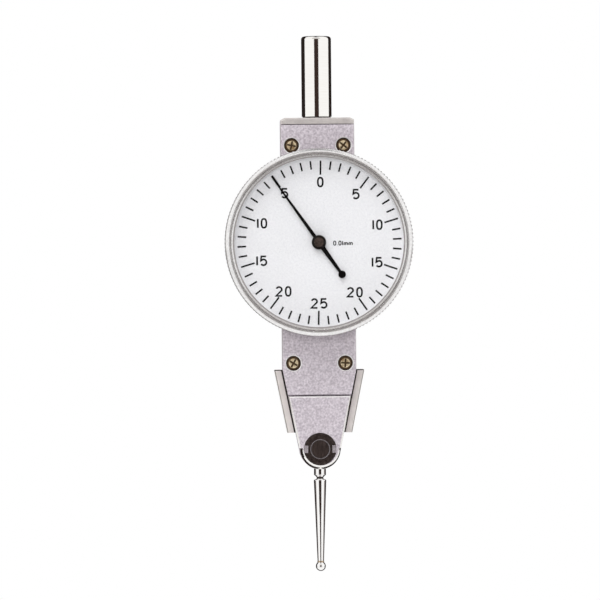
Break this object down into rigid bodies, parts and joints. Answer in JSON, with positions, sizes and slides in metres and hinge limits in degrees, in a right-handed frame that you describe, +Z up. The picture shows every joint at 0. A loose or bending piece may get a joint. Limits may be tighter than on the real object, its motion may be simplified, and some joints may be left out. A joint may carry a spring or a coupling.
{
  "type": "dial test indicator",
  "caption": "Lever-type dial test indicator with a round stem, dovetail rails, turning bezel, swivelling ball stylus and working gear train.",
  "frame": {"origin": "middle of the stem's flat upper end", "axes": "+Z up along the stem, the dial faces -Y, +X on the reader's right"},
  "size_m": [0.0374, 0.0163, 0.1065],
  "materials": {
    "satin_chrome": "satin chrome plate with a fine grained surface",
    "bright_chrome": "ground and polished hard chrome",
    "bezel_metal": "silver satin ring with a fine knurl",
    "clear_crystal": "clear flat window",
    "dial_enamel": "matt white dial print",
    "pointer_black": "matt black",
    "dark_bronze": "dark bronze",
    "screw_bronze": "dark yellow plated steel",
    "blackened_steel": "blackened steel",
    "blued_steel": "blued spring strip",
    "movement_brass": "fine-turned brass",
    "ruby": "synthetic ruby",
    "bright_steel": "bright steel"
  },
  "bodies": {
    "case": {"case_body": "satin_chrome", "front_plate": "satin_chrome", "stem": "bright_chrome", "plate_screw_1": "screw_bronze", "plate_screw_2": "screw_bronze", "plate_screw_3": "screw_bronze", "plate_screw_4": "screw_bronze", "base_plate": "movement_brass", "bridge_plate": "movement_brass", "pillar_1": "movement_brass", "pillar_2": "movement_brass", "pillar_3": "movement_brass", "bridge_screw_1": "bright_steel", "bridge_screw_2": "bright_steel", "bridge_screw_3": "bright_steel", "base_screw_1": "bright_steel", "base_screw_2": "bright_steel", "dial_front_jewel": "ruby", "dial_back_jewel": "ruby", "wheel_front_jewel": "ruby", "wheel_back_jewel": "ruby", "sector_front_jewel": "ruby", "sector_back_jewel": "ruby", "dial_pan": "satin_chrome", "pan_screw_1": "bright_steel", "pan_screw_2": "bright_steel", "pan_screw_3": "bright_steel", "hairspring": "blued_steel", "hairspring_stud": "movement_brass", "pivot_nut": "blackened_steel", "bearing_screw": "bright_steel"},
    "bezel": {"bezel_ring": "bezel_metal", "bezel_spring": "bright_steel", "crystal": "clear_crystal", "dial_plate": "dial_enamel", "dial_ring": "bright_steel"},
    "pointer": {"pointer": "pointer_black", "pointer_hub": "dark_bronze", "centre_arbor": "bright_steel", "hairspring_collet": "movement_brass"},
    "wheel": {"wheel": "movement_brass", "wheel_arbor": "bright_steel"},
    "sector": {"sector_gear": "movement_brass", "sector_arbor": "bright_steel"},
    "lever": {"lever_arm": "bright_steel", "lever_pin": "bright_steel", "pivot_axle": "blackened_steel", "clutch_washer": "bright_steel"},
    "stylus": {"stylus_hub": "bright_chrome", "contact_point": "bright_chrome", "ball_tip": "bright_chrome"}
  },
  "joints": [
    {"name": "bezel_turn", "type": "hinge", "parent": "case", "child": "bezel", "pos_m": [0, 0, -0.04107], "axis": [0, 1, 0], "continuous": true},
    {"name": "pointer_spin", "type": "hinge", "parent": "case", "child": "pointer", "pos_m": [0, 0, -0.04107], "axis": [0, 1, 0], "range_deg": [-198, 198], "stiffness_Nm_per_rad": 0.000005, "deforming": ["hairspring"]},
    {"name": "wheel_spin", "type": "hinge", "parent": "case", "child": "wheel", "pos_m": [0, 0, -0.04707], "axis": [0, 1, 0], "range_deg": [-28.4, 28.4]},
    {"name": "sector_swing", "type": "hinge", "parent": "case", "child": "sector", "pos_m": [0, 0, -0.05472], "axis": [0, 1, 0], "range_deg": [-3.8, 3.8]},
    {"name": "lever_swing", "type": "hinge", "parent": "case", "child": "lever", "pos_m": [0, 0, -0.08207], "axis": [0, 1, 0], "range_deg": [-0.68, 0.68]},
    {"name": "stylus_swivel", "type": "hinge", "parent": "lever", "child": "stylus", "pos_m": [0, 0, -0.08207], "axis": [0, 1, 0], "range_deg": [-100, 100]}
  ],
  "couplings": [
    {"joint": "wheel_spin", "follows": "pointer_spin", "ratio": -0.14286},
    {"joint": "sector_swing", "follows": "pointer_spin", "ratio": 0.019048},
    {"joint": "lever_swing", "follows": "pointer_spin", "ratio": -0.0034014}
  ]
}
